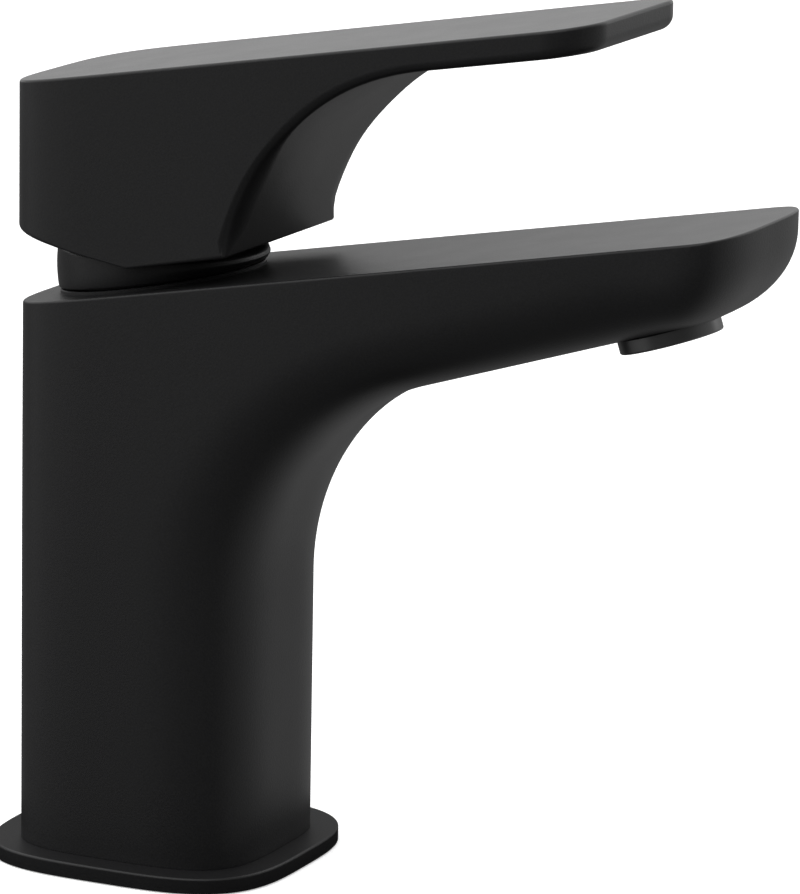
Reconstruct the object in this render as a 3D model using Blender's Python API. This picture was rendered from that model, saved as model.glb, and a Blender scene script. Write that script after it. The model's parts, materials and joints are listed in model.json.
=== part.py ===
"""Single-lever basin mixer: soft-square column with a forward spout, and a block handle with a flat lever.

Origin: the basin deck's top face, under the middle of the column. The spout points to -Y.
Numbers are millimetres; "forward" is the distance from the column's middle towards the spout.
"""
import math

import bmesh
import bpy
from mathutils import Matrix, Vector

MM = 0.001
GAP = 0.3

# Column and spout
HALF_WIDTH = 23.1
HALF_DEPTH = 24.6
CORNER_POWER = 3.7
FOOT = 3.3
TOP_HEIGHT = 110.5
TOP_SLOPE = 0.18
UNDERSIDE_HEIGHT = 79.0
UNDERSIDE_SLOPE = 0.316
BLEND_RADIUS = 45.3
SPOUT_TIP = 119.9
NOSE_RADIUS = 15.4
SPOUT_HALF_WIDTH = 22.6
SPOUT_TAPER = 0.9
SPOUT_ROUND = 16.0
SPOUT_POWER = 3.05
NOSE_ROUND = 10.2
NOSE_POWER = 3.28
NOSE_LEAD = 13.0
NOSE_EASE = 28.6
COVER_RISE = 12.0

# Openings in the body, and the boss under the collar
BOSS_RADIUS = 19.2
BOSS_LIFT = 0.6
HOSE_ROOM = (16.0, 10.5)
HOSE_ROOM_CENTRE = -4.5
HOSE_ROOM_TOP = 58.0
INLET_RADIUS = 3.4
GALLERY_FORWARD = 13.5
GALLERY_BOTTOM = 81.9
GALLERY_TOP = 90.4
WATERWAY_RADIUS = 4.0
WATERWAY_START = (10.0, 87.9)
WATERWAY_END = (99.5, 117.8)
MOUTH = 100.6
MOUTH_RADIUS = 9.9
MOUTH_THREAD_RADIUS = 8.6
MOUTH_DEPTH = 11.0
RING_RADIUS = 9.6
RING_DROP = 2.4

# Foot plate and its gasket
FLANGE_HALF_WIDTH = 28.4
FLANGE_HALF_DEPTH = 29.8
FLANGE_POWER = 3.4
FLANGE_THICK = 3.0
FLANGE_BEVEL = 0.7
SPIGOT_RADIUS = 17.5
GASKET_RADII = (21.5, 25.0)
GASKET_THICK = 1.2

# Cartridge, stacked up from its seat on the handle's axis
AXIS = -1.5
BORE_RADIUS = 17.6
SEAT = 79.4
SEAL_TOP = 81.0
BASE_TOP = 86.6
FIXED_DISC_TOP = 90.4
MOVING_DISC_TOP = 94.0
CARRIER_TOP = 99.4
SHOULDER = 103.9
NUT_TOP = 106.9
NECK_TOP = 114.0
GUIDE_TOP = 115.0
COLLAR_TOP = 116.9
COLLAR_RADIUS = 19.9
COLLAR_CROWN = 115.0
COLLAR_SHOULDER = 116.0
DISC_OFFSET = -2.1
INLET_X = 7.0
INLET_FORWARD = 5.5
OUTLET_FORWARD = -7.0
PIVOT_HEIGHT = 110.4
PIN_RADIUS = 1.5
PIN_BORE_RADIUS = 1.8
BALL_DROP = 12.0
STEM_RISE = 30.0

# Handle
HANDLE_HALF = 23.0
HANDLE_BACK = -25.2
HANDLE_TIP = 93.2
HANDLE_TOP = 151.8
HANDLE_SLOPE = 0.17
LEVER_THICK = 5.2
KINK = (2.5, 115.85)
FRONT_FOOT = (22.8, 119.65)
SCOOP_END = 61.3
SCOOP_LEAN = (0.26, 0.966)
SCOOP_PULLS = (25.0, 18.0)
BACK_RISE = 0.177
BACK_REACH = 24.1
BACK_POWER = 3.8
TIP_REACH = 9.0
TIP_SIDE = 9.0
HOLLOW_RADIUS = 20.6
HOLLOW_TOP = 124.4
POCKET_TOP = 143.4
SOCKET_WALL_RADIUS = 9.5
SCREW_HEIGHT = 132.4

# Under the deck
DECK_THICK = 20.0
STUD_FORWARD = 12.5
STUD_RADIUS = 3.85
STUD_BOTTOM = -52.0
HORSESHOE_RADIUS = 23.0

FINE = 40
COARSE = 24
SMALL = 16

MATERIALS = {
    "black_paint": ((0.018, 0.018, 0.019), 0.42, 0.0),
    "black_ring": ((0.014, 0.014, 0.015), 0.3, 0.0),
    "brass": ((0.62, 0.45, 0.2), 0.35, 1.0),
    "steel": ((0.6, 0.6, 0.61), 0.3, 1.0),
    "white_plastic": ((0.78, 0.78, 0.76), 0.45, 0.0),
    "grey_plastic": ((0.32, 0.33, 0.35), 0.5, 0.0),
    "ceramic": ((0.88, 0.87, 0.83), 0.18, 0.0),
    "rubber": ((0.03, 0.03, 0.03), 0.75, 0.0),
}


def clear_scene():
    for item in list(bpy.data.objects):
        bpy.data.objects.remove(item, do_unlink=True)


def material(name):
    """A fresh Principled material with the listed colour, roughness and metallic value."""
    colour, roughness, metallic = MATERIALS[name]
    mat = bpy.data.materials.new(name)
    mat.use_nodes = True
    shader = mat.node_tree.nodes["Principled BSDF"]
    shader.inputs["Base Color"].default_value = (*colour, 1.0)
    shader.inputs["Roughness"].default_value = roughness
    shader.inputs["Metallic"].default_value = metallic
    return mat


def place(x, forward, z):
    """A point in metres from millimetres, with forward running towards -Y."""
    return Vector((x, -forward, z)) * MM


def build(name, corners, faces, finish=None, at=(0.0, 0.0, 0.0), tilt=0.0):
    """An object with its origin at `at`, from corners given as (x, forward, z) about that origin."""
    mesh = bpy.data.meshes.new(name)
    mesh.from_pydata([place(*corner) for corner in corners], [], faces)
    form = bmesh.new()
    form.from_mesh(mesh)
    bmesh.ops.recalc_face_normals(form, faces=form.faces)
    form.to_mesh(mesh)
    form.free()
    mesh.shade_smooth()
    mesh.set_sharp_from_angle(angle=math.radians(35))
    item = bpy.data.objects.new(name, mesh)
    item.location = place(*at)
    item.rotation_euler = (tilt, 0.0, 0.0)
    bpy.context.scene.collection.objects.link(item)
    if finish:
        mesh.materials.append(material(finish))
    return item


def loft(name, rings, finish=None, **placing):
    """Closed rings with equal counts, joined by quads and capped at both ends."""
    count = len(rings[0])
    corners = [corner for ring in rings for corner in ring]
    faces = [list(range(count)), [(len(rings) - 1) * count + i for i in range(count)]]
    for level in range(len(rings) - 1):
        low = level * count
        for i in range(count):
            j = (i + 1) % count
            faces.append([low + i, low + j, low + count + j, low + count + i])
    return build(name, corners, faces, finish, **placing)


def turned(name, profile, finish=None, sides=COARSE, height=None, **placing):
    """A closed (radius, z) profile turned about Z; height(z, forward) may set each point's height."""
    corners, rows, faces = [], [], []
    for radius, z in profile:
        row = []
        for i in range(sides if radius > 0 else 1):
            angle = 2 * math.pi * i / sides
            forward = radius * math.cos(angle)
            level = height(z, forward) if height else z
            row.append(len(corners))
            corners.append((radius * math.sin(angle), forward, level))
        rows.append(row)
    for low, high in zip(rows, rows[1:] + rows[:1]):
        for i in range(sides if len(low) + len(high) > 2 else 0):
            j = (i + 1) % sides
            ring = [low[i % len(low)], low[j % len(low)], high[j % len(high)], high[i % len(high)]]
            faces.append(list(dict.fromkeys(ring)))
    return build(name, corners, faces, finish, **placing)


def rod(name, radius, low, high, finish=None, sides=SMALL, **placing):
    return turned(name, [(0, low), (radius, low), (radius, high), (0, high)], finish, sides, **placing)


def box(name, low, high, finish=None, **placing):
    """A block between two (x, forward, z) corners."""
    (x0, f0, z0), (x1, f1, z1) = low, high
    ring = [(x0, f0), (x1, f0), (x1, f1), (x0, f1)]
    return loft(name, [[(x, f, z) for x, f in ring] for z in (z0, z1)], finish, **placing)


def squircle(half_x, half_f, power, z, count=COARSE, centre=0.0):
    """A superellipse ring, round at power 2 and almost square at power 8."""
    ring = []
    for i in range(count):
        angle = 2 * math.pi * (i + 0.5) / count
        side, front = math.sin(angle), math.cos(angle)
        x = half_x * math.copysign(abs(side) ** (2 / power), side)
        forward = centre + half_f * math.copysign(abs(front) ** (2 / power), front)
        ring.append((x, forward, z))
    return ring


def join(target, tool, operation="DIFFERENCE"):
    """Cut, unite or intersect a piece with a hidden tool shape."""
    step = target.modifiers.new(tool.name, "BOOLEAN")
    step.operation = operation
    step.solver = "EXACT"
    step.object = tool
    tool.hide_render = True
    tool.display_type = "WIRE"


def lay_along_y(item):
    """Turn a piece that was modelled along Z so that its top end points to the back, +Y."""
    item.rotation_euler = (-math.pi / 2, 0.0, 0.0)


def lay_along_x(item):
    item.rotation_euler = (0.0, math.pi / 2, 0.0)


def smooth(t):
    t = min(max(t, 0.0), 1.0)
    return t * t * (3 - 2 * t)


def swell(depth, reach, power):
    """How much of its full half-width a superellipse has at a depth inside its edge, 0 to 1."""
    inside = max(1 - depth / reach, 0.0)
    return max(1 - inside ** power, 0.0) ** (1 / power)


def top_plane(forward):
    return TOP_HEIGHT + TOP_SLOPE * forward


def underside(forward):
    return UNDERSIDE_HEIGHT + UNDERSIDE_SLOPE * forward


PITCH = math.atan(UNDERSIDE_SLOPE)
BLEND_HEIGHT = underside(HALF_DEPTH) - BLEND_RADIUS * math.tan((math.pi / 2 - PITCH) / 2)
NOSE_FORWARD = SPOUT_TIP - NOSE_RADIUS
NOSE_HEIGHT = underside(NOSE_FORWARD) + NOSE_RADIUS / math.cos(PITCH)


def front_profile():
    """The body's front and underside in side view: (forward, height, inward normal, spout share) rows.

    It runs up the column, round the concave blend, along the underside, round the nose and past the top.
    """
    rows = [(HALF_DEPTH, FOOT, (-1.0, 0.0), 0.0)]
    steps = 10
    for i in range(steps + 1):
        angle = math.pi - (math.pi / 2 - PITCH) * i / steps
        normal = (math.cos(angle), math.sin(angle))
        forward = HALF_DEPTH + BLEND_RADIUS * (1 + normal[0])
        rows.append((forward, BLEND_HEIGHT + BLEND_RADIUS * normal[1], normal, smooth(i / steps)))
    start = rows[-1][0]
    finish = NOSE_FORWARD + NOSE_RADIUS * math.sin(PITCH)
    for share in (0.3, 0.55, 0.75, 0.88):
        forward = start + (finish - start) * share
        rows.append((forward, underside(forward), (-math.sin(PITCH), math.cos(PITCH)), 1.0))
    steps = 7
    for i in range(steps + 1):
        angle = (PITCH - math.pi / 2) * (1 - i / steps)
        normal = (-math.cos(angle), -math.sin(angle))
        forward = NOSE_FORWARD - NOSE_RADIUS * normal[0]
        rows.append((forward, NOSE_HEIGHT - NOSE_RADIUS * normal[1], normal, 1.0))
    rows.append((SPOUT_TIP, NOSE_HEIGHT + COVER_RISE, (-1.0, 0.0), 1.0))
    return rows


def nose_depth(forward, z):
    """Distance inside the underside, the nose arc or the tip, whichever is nearest."""
    ahead, above = forward - NOSE_FORWARD, z - NOSE_HEIGHT
    if PITCH - math.pi / 2 < math.atan2(above, ahead) < 0:
        return NOSE_RADIUS - math.hypot(ahead, above)
    return min((z - underside(forward)) * math.cos(PITCH), SPOUT_TIP - forward)


def body_rings():
    """Closed rings of the column and spout, each in a plane that stands square to the front profile."""
    rings = []
    rows = front_profile()
    nose_start = NOSE_FORWARD + NOSE_RADIUS * math.sin(PITCH)
    lengths = [0.0]
    for here, then in zip(rows[1:], rows[:-1]):
        lengths.append(lengths[-1] + math.hypot(here[0] - then[0], here[1] - then[1]))
    nose_path = min(n for n, row in zip(lengths, rows) if row[0] >= nose_start - 0.01)
    for (forward, z, normal, spout), path in zip(rows, lengths):
        nose = smooth((path - nose_path + NOSE_LEAD) / NOSE_EASE)
        reach = HALF_DEPTH + (SPOUT_ROUND - HALF_DEPTH) * spout
        reach += (NOSE_ROUND - reach) * nose
        power = CORNER_POWER + (SPOUT_POWER - CORNER_POWER) * spout
        power += (NOSE_POWER - power) * nose
        width = HALF_WIDTH + (SPOUT_HALF_WIDTH - HALF_WIDTH) * spout
        width -= SPOUT_TAPER * min(max((forward - 60) / 50, 0.0), 1.0)
        length, bearing = section_length(forward, z, normal, path - nose_path)
        back_reach = min(HALF_DEPTH / max(-bearing[0], 0.05), length - reach)
        depths = [reach * (1 - math.cos(a) ** (2 / power)) for a in angles(9)]
        for a in reversed(angles(9)[:-1]):
            depths.append(length - back_reach * (1 - math.cos(a) ** (2 / power)))
        side = []
        for depth in depths:
            f, h = forward + bearing[0] * depth, z + bearing[1] * depth
            inside = depth if path <= nose_path else nose_depth(f, h)
            x = width * swell(inside, reach, power) * swell(f + HALF_DEPTH, HALF_DEPTH, CORNER_POWER)
            side.append((x, f, h))
        rings.append([(-x, f, h) for x, f, h in side] + [(x, f, h) for x, f, h in reversed(side)])
    return rings


def angles(count):
    """Angles that crowd towards a superellipse's corner, from just off its middle to its side."""
    first = math.radians(2.5)
    return [first + (math.pi / 2 - first) * i / (count - 1) for i in range(count)]


def section_length(forward, z, normal, past_nose):
    """Length and direction of a section from the front profile to the back or to above the top."""
    if past_nose > 0:
        above = top_plane(NOSE_FORWARD) + COVER_RISE
        aim = Vector((NOSE_FORWARD - 3 + 0.3 * past_nose, above + 0.2 * past_nose))
        way = aim - Vector((forward, z))
        return way.length, way.normalized()
    rise = normal[1] - TOP_SLOPE * normal[0]
    to_cover = (top_plane(forward) + COVER_RISE - z) / rise if rise > 1e-6 else math.inf
    to_back = (forward + HALF_DEPTH) / -normal[0]
    return min(to_cover, to_back), normal


def body_casting():
    body = loft("body_casting", body_rings(), "black_paint")
    form = bmesh.new()
    form.from_mesh(body.data)
    cut = bmesh.ops.bisect_plane(
        form,
        geom=form.verts[:] + form.edges[:] + form.faces[:],
        plane_co=place(0, 0, TOP_HEIGHT),
        plane_no=Vector((0, TOP_SLOPE, 1)),
        clear_outer=True,
    )
    rim = [part for part in cut["geom_cut"] if isinstance(part, bmesh.types.BMEdge)]
    bmesh.ops.contextual_create(form, geom=rim)
    bmesh.ops.recalc_face_normals(form, faces=form.faces)
    form.to_mesh(body.data)
    form.free()
    body.data.set_sharp_from_angle(angle=math.radians(35))

    join(body, rod("spigot", SPIGOT_RADIUS, 0.5, FOOT + 4, sides=COARSE), "UNION")
    boss = [(0, -4.0), (BOSS_RADIUS, -4.0), (BOSS_RADIUS, BOSS_LIFT), (0, BOSS_LIFT)]
    join(body, turned("boss", boss, sides=FINE, height=on_top, at=(0, AXIS, 0)), "UNION")
    join(body, rod("bore", BORE_RADIUS, SEAT, TOP_HEIGHT + 8, sides=FINE, at=(0, AXIS, 0)))
    room = [squircle(*HOSE_ROOM, 5, z, centre=HOSE_ROOM_CENTRE) for z in (-1.0, HOSE_ROOM_TOP)]
    join(body, loft("hose_room", room))
    for side in (-1, 1):
        at = (side * INLET_X, AXIS + INLET_FORWARD, 0)
        join(body, rod("inlet_passage", INLET_RADIUS, HOSE_ROOM_TOP - 1, SEAT + 1, at=at))
    join(body, rod("gallery", 4.5, GALLERY_BOTTOM, GALLERY_TOP, at=(0, GALLERY_FORWARD, 0)))
    run, rise = (end - start for end, start in zip(WATERWAY_END, WATERWAY_START))
    waterway = rod("waterway", WATERWAY_RADIUS, 0, math.hypot(run, rise), at=(0, *WATERWAY_START))
    waterway.rotation_euler = (math.atan2(run, rise), 0.0, 0.0)
    join(body, waterway)
    mouth = [(0, -8.0), (MOUTH_RADIUS, -8.0), (MOUTH_RADIUS, 0.6), (MOUTH_THREAD_RADIUS, 0.6)]
    mouth += [(MOUTH_THREAD_RADIUS, MOUTH_DEPTH), (0, MOUTH_DEPTH)]
    join(body, turned("mouth", mouth, at=(0, MOUTH, underside(MOUTH)), tilt=-PITCH))
    join(body, rod("stud_hole", STUD_RADIUS + 0.35, -1, 15, at=(0, STUD_FORWARD, 0)))


def on_top(z, forward):
    """Height of a turned point that follows the body's sloping top face."""
    return top_plane(AXIS + forward) + z


def base_flange():
    """A soft-square plate, pierced for the body's spigot and grooved below for its gasket."""
    levels = ((0.0, 0.0), (0.0, FLANGE_THICK - FLANGE_BEVEL), (FLANGE_BEVEL, FLANGE_THICK))
    rings = []
    for inset, z in levels:
        half_x, half_f = FLANGE_HALF_WIDTH - inset, FLANGE_HALF_DEPTH - inset
        rings.append(squircle(half_x, half_f, FLANGE_POWER, z, FINE))
    plate = loft("base_flange", rings, "black_paint")
    join(plate, rod("flange_hole", SPIGOT_RADIUS + GAP, -1, FLANGE_THICK + 1, sides=COARSE))
    inner, outer = GASKET_RADII
    roof = GASKET_THICK + GAP
    groove = [(inner - GAP, -1.0), (outer + GAP, -1.0), (outer + GAP, roof), (inner - GAP, roof)]
    join(plate, turned("gasket_groove", groove))
    ring = [(inner, 0.0), (outer, 0.0), (outer, GASKET_THICK), (inner, GASKET_THICK)]
    turned("base_gasket", ring, "rubber")


def collar():
    """The barrel ring over the cartridge nut; its foot follows the sloping top, its crown is level."""
    outside = [(18.9, 0.0, 0.9), (19.6, 0.12, 1.3), (COLLAR_RADIUS, 0.5, 1.3), (19.75, 1.0, 0.0)]
    level = [(19.3, COLLAR_TOP - 0.3), (18.2, COLLAR_TOP), (13.5, COLLAR_TOP)]
    level += [(13.5, COLLAR_CROWN + 0.4), (15.4, COLLAR_CROWN + 0.4), (15.4, NUT_TOP + 0.7)]
    level += [(17.2, NUT_TOP + 0.7), (17.2, COLLAR_CROWN - 0.2), (17.9, COLLAR_CROWN - 0.2)]
    profile = [(radius, ("slant", share, lift)) for radius, share, lift in outside]
    profile += [(radius, ("level", z, 0.0)) for radius, z in level]
    profile += [(17.9, ("slant", 0.0, 0.9))]

    def height(point, forward):
        kind, value, lift = point
        if kind == "level":
            return value
        foot = top_plane(AXIS + forward) + lift
        return foot + (COLLAR_SHOULDER - foot) * value

    turned("collar", profile, "black_paint", sides=FINE, height=height, at=(0, AXIS, 0))


def cartridge():
    """Everything in the body's bore, from the seal on its seat up to the guide under the collar."""
    inlets = [(side * INLET_X, INLET_FORWARD) for side in (-1, 1)]
    ports = inlets + [(0.0, OUTLET_FORWARD)]

    seal = rod("port_seal", 16.8, SEAT + GAP, SEAL_TOP, "rubber", sides=COARSE, at=(0, AXIS, 0))
    pierce(seal, inlets, 3.4, SEAT, SEAL_TOP + 1)

    low, high = SEAL_TOP + GAP, BASE_TOP
    foot = [(0, low), (17.2, low), (17.2, low + 1.2), (15.2, low + 1.6), (15.2, high - 1.2)]
    foot += [(17.2, high - 0.8), (17.2, high), (0, high)]
    base = turned("cartridge_base", foot, "white_plastic", at=(0, AXIS, 0))
    pierce(base, inlets, 3.0, low - 1, high + 1)
    pierce(base, ports[2:], 3.0, low + 2.0, high + 1)
    way_out = rod("outlet_way", 1.3, 0, 12, at=(0, AXIS + OUTLET_FORWARD, low + 3.4))
    lay_along_y(way_out)
    join(base, way_out)

    low, high = BASE_TOP + GAP, FIXED_DISC_TOP
    disc = rod("fixed_disc", 14.1, low, high, "ceramic", sides=COARSE, at=(0, AXIS, 0))
    pierce(disc, ports, 2.8, low - 1, high + 1)

    low, high = FIXED_DISC_TOP + GAP, MOVING_DISC_TOP
    at = (0, AXIS + DISC_OFFSET, 0)
    disc = rod("moving_disc", 10.0, low, high, "ceramic", sides=COARSE, at=at)
    join(disc, box("mixing_pocket", (-6.5, -9.0, low - 1), (6.5, 2.0, low + 1.6), at=(0, AXIS, 0)))

    low, high = MOVING_DISC_TOP + GAP, CARRIER_TOP
    at = (0, AXIS + DISC_OFFSET, 0)
    carrier = rod("disc_carrier", 10.3, low, high, "grey_plastic", sides=COARSE, at=at)
    join(carrier, rod("ball_socket", 3.4, low + 0.8, high + 1, at=(0, AXIS, 0)))

    low = BASE_TOP + GAP
    shell = [(17.2, low), (17.2, SHOULDER), (13.1, SHOULDER), (13.1, NECK_TOP), (11.3, NECK_TOP)]
    shell += [(11.3, CARRIER_TOP + 2.3), (14.4, CARRIER_TOP + 2.3), (14.4, low)]
    turned("cartridge_housing", shell, "white_plastic", at=(0, AXIS, 0))

    ring = [(13.4, SHOULDER + GAP), (17.2, SHOULDER + GAP), (17.2, NUT_TOP), (13.4, NUT_TOP)]
    nut = turned("cartridge_nut", ring, "brass", at=(0, AXIS, 0))
    for turn in range(2):
        key = box("key_slot", (-2.5, -20, NUT_TOP - 1.2), (2.5, 20, NUT_TOP + 1), at=(0, AXIS, 0))
        key.rotation_euler = (0.0, 0.0, turn * math.pi / 2)
        join(nut, key)

    low, high = CARRIER_TOP + 0.6, CARRIER_TOP + 2.0
    barrel = [(0, low), (13.9, low), (13.9, high), (11.0, high), (11.0, GUIDE_TOP), (0, GUIDE_TOP)]
    guide = turned("swivel_guide", barrel, "grey_plastic", at=(0, AXIS, 0))
    join(guide, box("stem_slot", (-4.3, -7.5, low - 1), (4.3, 7.5, GUIDE_TOP + 1), at=(0, AXIS, 0)))
    bore = rod("pin_bore", PIN_BORE_RADIUS, -12, 12, at=(0, AXIS, PIVOT_HEIGHT))
    lay_along_x(bore)
    join(guide, bore)
    lay_along_x(rod("pivot_pin", PIN_RADIUS, -10.6, 10.6, "steel", at=(0, AXIS, PIVOT_HEIGHT)))


def pierce(piece, holes, radius, low, high):
    for x, forward in holes:
        join(piece, rod("port", radius, low, high, at=(x, AXIS + forward, 0)))


def stem():
    """A ball and finger below the pivot, and a square spindle above it; its origin is on the pivot."""
    ball = [(-2.9, 0.8), (-2.3, 1.9), (-1.2, 2.75), (0.0, 3.0), (1.2, 2.75), (2.3, 1.9)]
    rings = [squircle(r, r, 2, z - BALL_DROP, SMALL) for z, r in ball]
    rings.append(squircle(2, 2, 2, -6.8, SMALL))
    rings += [squircle(4, 4, 8, z, SMALL) for z in (-5.4, STEM_RISE)]
    spindle = loft("stem", rings, "brass", at=(0, AXIS, PIVOT_HEIGHT))
    bore = rod("stem_bore", PIN_BORE_RADIUS, -8, 8, at=(0, AXIS, PIVOT_HEIGHT))
    lay_along_x(bore)
    join(spindle, bore)


def handle_top(forward):
    return HANDLE_TOP + HANDLE_SLOPE * forward


def scoop(t):
    """A point on the concave front of the block, a cubic from its foot to the lever's underside."""
    lever = Vector((1.0, HANDLE_SLOPE)).normalized()
    start = Vector(FRONT_FOOT)
    end = Vector((SCOOP_END, handle_top(SCOOP_END) - LEVER_THICK))
    a, b = start + SCOOP_PULLS[0] * Vector(SCOOP_LEAN), end - SCOOP_PULLS[1] * lever
    return (1 - t) ** 3 * start + 3 * t * (1 - t) ** 2 * a + 3 * t * t * (1 - t) * b + t ** 3 * end


def handle_stations():
    """(forward, half-width, bottom, top) rows from the handle's back to the lever's tip."""
    rows = []
    for angle in [math.pi / 2 * i / 7 for i in range(8)]:
        forward = HANDLE_BACK + BACK_REACH * (1 - math.cos(angle) ** (2 / BACK_POWER))
        width = max(HANDLE_HALF * math.sin(angle) ** (2 / BACK_POWER), 6.0)
        corner = 2.0 * max(1 - (forward - HANDLE_BACK) / 2.0, 0.0) ** 2
        rows.append((forward, width, KINK[1] + BACK_RISE * (KINK[0] - forward) + corner))
    rows.append((KINK[0], HANDLE_HALF, KINK[1]))
    for i in range(13):
        forward, bottom = scoop(i / 12)
        rows.append((forward, HANDLE_HALF, bottom))
    for angle in [math.pi / 2 * (1 - i / 7) for i in range(8)]:
        forward = HANDLE_TIP - TIP_REACH * (1 - math.cos(angle))
        width = HANDLE_HALF - TIP_SIDE * (1 - math.sin(angle))
        rows.append((forward, width, handle_top(forward) - LEVER_THICK))
    return [(forward, width, bottom, handle_top(forward)) for forward, width, bottom in rows]


def handle():
    """The lever casting, with its origin on the lever's pivot, hollow over the collar and the guide."""
    def about_pivot(x, forward, z):
        return (x, forward - AXIS, z - PIVOT_HEIGHT)

    rings = []
    for forward, width, bottom, top in handle_stations():
        ring = [(-width, bottom), (-width, top), (width, top), (width, bottom)]
        rings.append([about_pivot(x, forward, z) for x, z in ring])
    lever = loft("handle", rings, "black_paint", at=(0, AXIS, PIVOT_HEIGHT))
    hollow = [(0, 105.0), (HOLLOW_RADIUS, 105.0), (HOLLOW_RADIUS, HOLLOW_TOP), (15.0, POCKET_TOP)]
    hollow += [(SOCKET_WALL_RADIUS, POCKET_TOP), (SOCKET_WALL_RADIUS, HOLLOW_TOP), (0, HOLLOW_TOP)]
    join(lever, turned("handle_hollow", hollow, sides=FINE, at=(0, AXIS, 0)))
    half = 4 + GAP
    levels = (HOLLOW_TOP - 2, PIVOT_HEIGHT + STEM_RISE + 1)
    socket = [squircle(half, half, 8, z, SMALL) for z in levels]
    join(lever, loft("stem_socket", socket, at=(0, AXIS, 0)))
    for name, radius, low, high in (("screw_thread", 2.8, 3.5, 11.0), ("cap_hole", 3.7, 15.0, 26.0)):
        hole = rod(name, radius, low, high, at=(0, AXIS, SCREW_HEIGHT))
        lay_along_y(hole)
        join(lever, hole)

    grub = rod("handle_screw", 2.5, 4.3, 10.3, "steel", at=(0, AXIS, SCREW_HEIGHT))
    lay_along_y(grub)
    key = loft("hex_key", [squircle(1.4, 1.4, 2, z, 6) for z in (8.0, 11.0)], at=(0, AXIS, SCREW_HEIGHT))
    lay_along_y(key)
    join(grub, key)
    cap = rod("screw_cap", 3.4, 19.6, 23.8, "black_paint", sides=COARSE, at=(0, AXIS, SCREW_HEIGHT))
    lay_along_y(cap)


def aerator():
    """Ring, jet cup, screen and washer on the mouth's axis, which stands square to the underside."""
    placing = {"at": (0, MOUTH, underside(MOUTH)), "tilt": -PITCH}
    foot, lip = -RING_DROP, 0.8 - RING_DROP
    ring = [(6.6, foot), (RING_RADIUS - 0.4, foot), (RING_RADIUS, foot + 0.5), (RING_RADIUS, 0.3)]
    ring += [(8.3, 0.3), (8.3, 7.5), (7.3, 7.5), (7.3, lip), (6.6, lip)]
    turned("aerator_ring", ring, "black_ring", **placing)

    cup = [(6.0, -1.2), (7.0, -1.2), (7.0, 5.0), (0, 5.0), (0, 3.8), (6.0, 3.8)]
    core = turned("aerator_core", cup, "grey_plastic", **placing)
    screen = rod("aerator_screen", 5.7, -0.9, -0.4, "steel", sides=COARSE, **placing)
    turned("aerator_washer", [(5.4, 7.8), (8.2, 7.8), (8.2, 9.4), (5.4, 9.4)], "rubber", **placing)
    for piece, name, radius, circle in ((core, "jet", 0.9, 3.7), (screen, "screen_hole", 1.1, 3.45)):
        for turn in range(6):
            hole = rod(name, radius, -3, 7, sides=10, **placing)
            offset = Matrix.Rotation(turn * math.pi / 3, 3, "Z") @ Vector((circle * MM, 0, 0))
            hole.location += Matrix.Rotation(-PITCH, 3, "X") @ offset
            join(piece, hole)


def under_deck():
    """The stud in the body's foot, and the seal, clamp and nut that grip the deck from below."""
    top = -DECK_THICK - GAP
    rod("mounting_stud", STUD_RADIUS, STUD_BOTTOM, 14, "steel", at=(0, STUD_FORWARD, 0))
    horseshoe("deck_seal", top - 2.5, top, "rubber")
    horseshoe("clamp_plate", top - 4.8, top - 2.8, "steel")
    high = top - 4.8 - GAP
    hexagon = [[(x, f, z) for x, f, _ in squircle(7.5, 7.5, 2, 0, 6)] for z in (high - 6.5, high)]
    nut = loft("mounting_nut", hexagon, "brass", at=(0, STUD_FORWARD, 0))
    join(nut, rod("nut_hole", STUD_RADIUS + GAP, high - 8, high + 1, at=(0, STUD_FORWARD, 0)))


def horseshoe(name, low, high, finish):
    """A round plate with a slot for the hoses, open to the back, and a hole for the stud."""
    plate = rod(name, HORSESHOE_RADIUS, low, high, finish, sides=FINE)
    slot = [squircle(11, 24, 5, z, centre=-19) for z in (low - 1, high + 1)]
    join(plate, loft("hose_slot", slot))
    join(plate, rod("stud_clearance", STUD_RADIUS + GAP, low - 1, high + 1, at=(0, STUD_FORWARD, 0)))


clear_scene()
body_casting()
base_flange()
collar()
cartridge()
stem()
handle()
aerator()
under_deck()
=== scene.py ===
import json
import math

import bmesh
import bpy
from mathutils import Matrix, Vector


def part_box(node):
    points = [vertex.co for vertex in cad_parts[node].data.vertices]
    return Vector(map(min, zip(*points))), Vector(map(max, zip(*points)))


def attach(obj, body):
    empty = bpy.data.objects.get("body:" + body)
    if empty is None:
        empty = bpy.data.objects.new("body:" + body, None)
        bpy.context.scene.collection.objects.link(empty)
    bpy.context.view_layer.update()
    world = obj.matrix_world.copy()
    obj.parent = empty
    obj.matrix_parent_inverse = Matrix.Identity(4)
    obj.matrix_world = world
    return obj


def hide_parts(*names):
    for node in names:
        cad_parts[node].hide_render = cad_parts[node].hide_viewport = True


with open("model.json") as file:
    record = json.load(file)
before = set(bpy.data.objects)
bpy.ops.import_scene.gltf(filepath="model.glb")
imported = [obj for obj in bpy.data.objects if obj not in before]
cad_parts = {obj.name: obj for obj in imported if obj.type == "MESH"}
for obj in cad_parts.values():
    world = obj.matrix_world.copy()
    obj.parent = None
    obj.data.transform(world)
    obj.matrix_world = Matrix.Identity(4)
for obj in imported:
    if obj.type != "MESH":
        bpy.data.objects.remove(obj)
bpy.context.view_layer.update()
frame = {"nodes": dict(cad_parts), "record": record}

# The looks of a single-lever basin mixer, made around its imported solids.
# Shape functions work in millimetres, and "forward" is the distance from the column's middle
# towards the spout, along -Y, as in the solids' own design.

MM = 0.001
GAP = 0.3

# How far a cutting shape runs past the face that it opens
PAST = 1.0


def extent(node):
    """Lowest and highest (x, forward, z) of a solid, in millimetres."""
    low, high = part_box(node)
    return (low.x / MM, -high.y / MM, low.z / MM), (high.x / MM, -low.y / MM, high.z / MM)


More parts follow.
